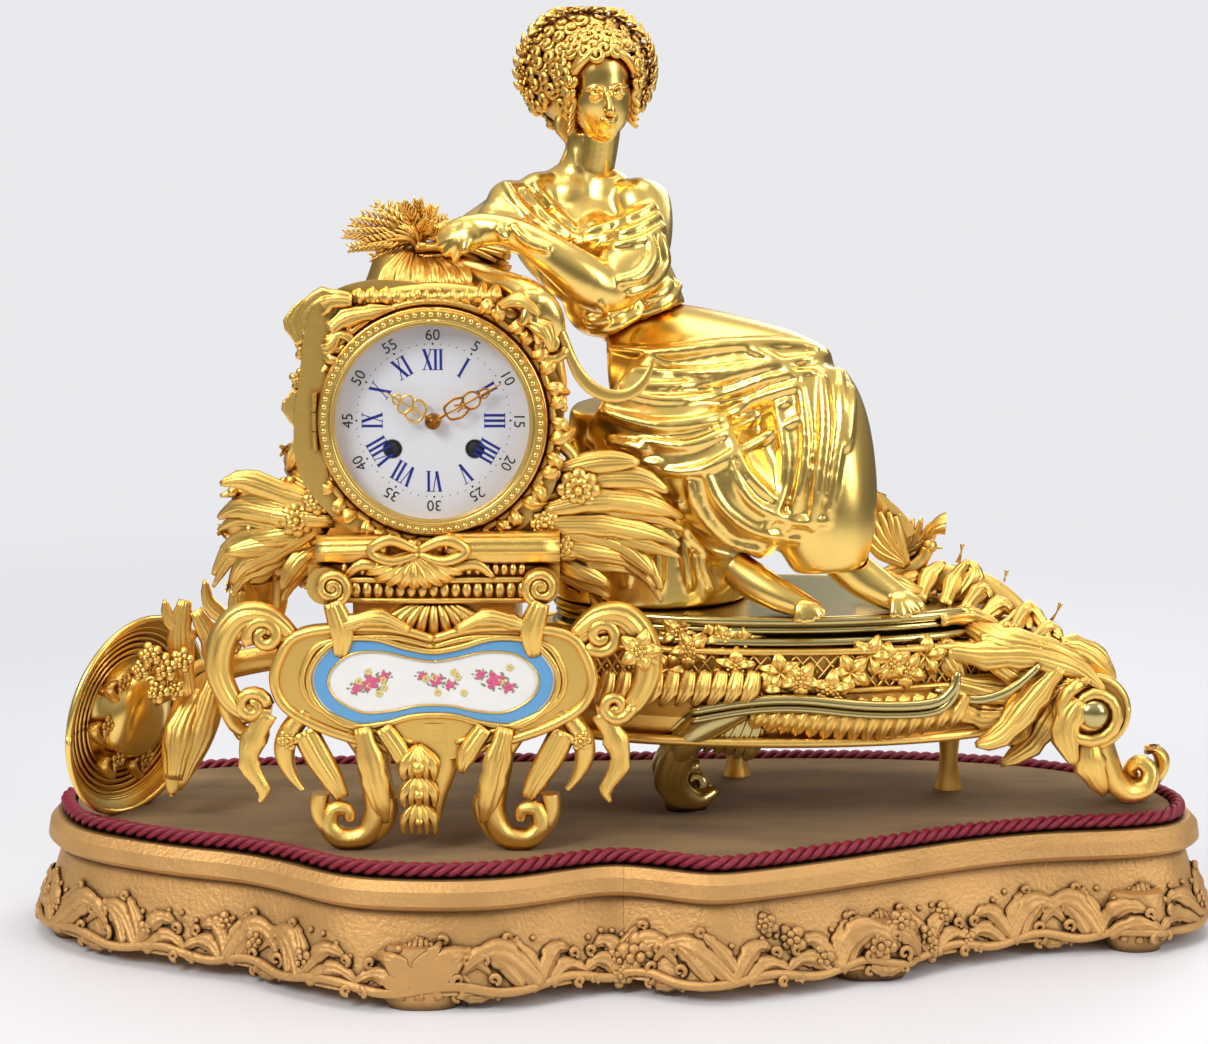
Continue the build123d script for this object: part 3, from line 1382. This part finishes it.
# Pendulum: its suspension bends on the anchor's axis; the bob swings in the console's pocket.
bob_radius = 13.0
bob_thickness = 8.0
cock_gap = 2.0
with BuildPart() as pendulum:
    with BuildSketch(Plane.XY.offset(anchor_z + rod_radius)):
        with Locations((anchor_x, rod_y)):
            Circle(rod_radius)
    extrude(amount=-(pendulum_length + rod_radius))
    with BuildSketch(facing(rod_y + bob_thickness / 2)):
        with Locations((anchor_x, anchor_z - pendulum_length)):
            Circle(bob_radius)
    extrude(amount=bob_thickness)
pendulum.part.label = "pendulum"
export_step(pendulum.part, "parts/pendulum.step")

with BuildPart() as back_cock:
    with BuildSketch(Plane(origin=(anchor_x, 0, 0), x_dir=(0, 1, 0), z_dir=(1, 0, 0))):
        with BuildLine():
            Polyline(
                (back_plate_back_y, anchor_z + rod_radius + air),
                (back_plate_back_y, anchor_z + rod_radius + air + cock_gap),
                (rod_y + rod_radius * 2, anchor_z + rod_radius + air + cock_gap),
                (rod_y + rod_radius * 2, anchor_z + rod_radius + air),
                close=True,
            )
        make_face()
    extrude(amount=plate_radius * 0.18, both=True)
    add(drum_case.part, mode=Mode.SUBTRACT)
back_cock.part.label = "back_cock"
export_step(back_cock.part, "parts/back_cock.step")

# Strike side: pin wheel, hammer and bell

pin_start = meshed(direction(strike_place, pin_place), strike_start, barrel_teeth, second_leaves)
pin_teeth = 48
with BuildPart() as pin_wheel:
    add(arbor(pin_place))
    add(gear(pin_place, second_leaves, gear_module, pin_start, great_level_y, gear_width + air / 2))
    add(gear(pin_place, pin_teeth, gear_module, pin_start, second_level_y, gear_width))
pin_wheel.part.label = "pin_wheel"
export_step(pin_wheel.part, "parts/pin_wheel.step")

bell_front_y = rod_y + bob_thickness / 2 + plate_thickness
bell_back_y = bell_front_y + bell_depth
bell_post_place = (plate_radius * 0.55, -plate_radius * 0.50)
with BuildPart() as bell:
    add(bar((0, 0), bell_radius, bell_back_y, bell_depth))
    add(bar((0, 0), bell_radius - bell_wall, bell_back_y - bell_wall, bell_depth), mode=Mode.SUBTRACT)
    add(bar((0, 0), arbor_radius * 2, bell_back_y + strap_thickness * 2, strap_thickness * 2))
bell.part.label = "bell"
export_step(bell.part, "parts/bell.step")

stand_back_y = bell_back_y + strap_thickness * 3
post_x, post_z = on_dial(bell_post_place)
with BuildPart() as bell_stand:
    add(bar(bell_post_place, arbor_radius, stand_back_y, stand_back_y - back_plate_back_y))
    with BuildSketch(facing(stand_back_y)):
        with BuildLine():
            Polyline(
                (post_x + arbor_radius, post_z + arbor_radius),
                (post_x - arbor_radius, post_z - arbor_radius),
                (dial_x - arbor_radius, dial_z - arbor_radius),
                (dial_x + arbor_radius, dial_z + arbor_radius),
                close=True,
            )
        make_face()
    extrude(amount=strap_thickness)
bell_stand.part.label = "bell_stand"
export_step(bell_stand.part, "parts/bell_stand.step")

hammer_x, hammer_z = on_dial(hammer_place)
hammer_head_radius = 2.6
hammer_head_place = (-(bell_radius + hammer_head_radius + air) * cos(radians(32)),
                     (bell_radius + hammer_head_radius + air) * sin(radians(32)))
hammer_y = bell_front_y + bell_depth * 0.4
with BuildPart() as hammer:
    add(arbor(hammer_place, arbor_radius * 0.8))
    add(bar(hammer_place, arbor_radius * 0.8, hammer_y, hammer_y - back_plate_back_y))
    with BuildSketch(facing(hammer_y)):
        with BuildLine():
            Polyline(
                (hammer_x - arbor_radius, hammer_z),
                (hammer_x + arbor_radius, hammer_z),
                (dial_x + hammer_head_place[0] + arbor_radius, dial_z + hammer_head_place[1]),
                (dial_x + hammer_head_place[0] - arbor_radius, dial_z + hammer_head_place[1]),
                close=True,
            )
        make_face()
    extrude(amount=arbor_radius * 1.6)
    add(bar(hammer_head_place, hammer_head_radius, hammer_y + arbor_radius * 2, arbor_radius * 5))
hammer.part.label = "hammer"
export_step(hammer.part, "parts/hammer.step")

# Motion work and hands

cannon_teeth = 12
minute_teeth = 36
minute_leaves = 10
hour_teeth = 40
cannon_module = motion_distance * 2 / (cannon_teeth + minute_teeth)
hour_module = motion_distance * 2 / (minute_leaves + hour_teeth)
cannon_level_y = front_plate_y - air
hour_level_y = cannon_level_y - gear_width - air
motion_width = gear_width * 0.9
cannon_radius = arbor_radius + 0.6
with BuildPart() as cannon_pinion:
    add(gear((0, 0), cannon_teeth, cannon_module, 0.0, cannon_level_y, motion_width))
    add(bar((0, 0), cannon_radius, cannon_level_y - motion_width, cannon_level_y - motion_width - minute_back_y))
    add(bar((0, 0), arbor_radius, cannon_level_y + overrun, plate_distance), mode=Mode.SUBTRACT)
cannon_pinion.part.label = "cannon_pinion"
export_step(cannon_pinion.part, "parts/cannon_pinion.step")

minute_start = meshed(direction((0, 0), motion_place), 0.0, cannon_teeth, minute_teeth)
with BuildPart() as minute_wheel:
    add(gear(motion_place, minute_teeth, cannon_module, minute_start, cannon_level_y, motion_width))
    add(gear(motion_place, minute_leaves, hour_module, minute_start, hour_level_y, gear_width))
    add(bar(motion_place, arbor_radius, cannon_level_y, cannon_level_y - hour_level_y + running_fit))
    add(bar(motion_place, arbor_radius * 0.7, front_plate_y - air / 2, air))
minute_wheel.part.label = "minute_wheel"
export_step(minute_wheel.part, "parts/minute_wheel.step")

hour_start = meshed(direction(motion_place, (0, 0)), minute_start, minute_leaves, hour_teeth)
hour_hand_back_y = dial_front_y - dial_thickness
with BuildPart() as hour_wheel:
    add(gear((0, 0), hour_teeth, hour_module, hour_start, hour_level_y, motion_width))
    add(bar((0, 0), hour_pipe_radius, hour_level_y - motion_width, hour_level_y - motion_width - hour_hand_back_y))
    add(bar((0, 0), cannon_radius + running_fit, hour_level_y + overrun, plate_distance), mode=Mode.SUBTRACT)
hour_wheel.part.label = "hour_wheel"
export_step(hour_wheel.part, "parts/hour_wheel.step")


def hand(angle, length, half_width, hole_radius, back_y):
    """A pierced clock hand with its boss on the pipe."""
    along = (cos(angle), sin(angle))
    across = (-sin(angle), cos(angle))

    def place(reach, side):
        """A point of the hand's outline, as shares of its length and half width."""
        return (
            dial_x + along[0] * length * reach + across[0] * half_width * side,
            dial_z + along[1] * length * reach + across[1] * half_width * side,
        )

    with BuildPart() as blade:
        with BuildSketch(facing(back_y)):
            with BuildLine():
                Polyline(
                    place(0.0, -0.3), place(0.20, -0.3), place(0.34, -1.0), place(0.60, -0.8), place(0.72, -0.3),
                    place(1.0, -0.1), place(1.0, 0.1), place(0.72, 0.3), place(0.60, 0.8), place(0.34, 1.0),
                    place(0.20, 0.3), place(0.0, 0.3), close=True,
                )
            make_face()
            with Locations(place(0.47, 0.0)):
                Circle(half_width * 0.35, mode=Mode.SUBTRACT)
            with Locations((dial_x, dial_z)):
                Circle(hour_pipe_radius * 1.3)
                Circle(hole_radius, mode=Mode.SUBTRACT)
        extrude(amount=hand_thickness)
    return blade.part


hour_hand_length = dial_radius * 0.56
minute_hand_length = dial_radius * 0.78
hour_angle = radians(148)
minute_angle = radians(29)
with BuildPart() as hour_hand:
    add(hand(hour_angle, hour_hand_length, hour_pipe_radius, cannon_radius + running_fit, hour_hand_back_y))
hour_hand.part.label = "hour_hand"
export_step(hour_hand.part, "parts/hour_hand.step")

with BuildPart() as minute_hand:
    add(hand(minute_angle, minute_hand_length, hour_pipe_radius, arbor_radius, minute_back_y))
minute_hand.part.label = "minute_hand"
export_step(minute_hand.part, "parts/minute_hand.step")
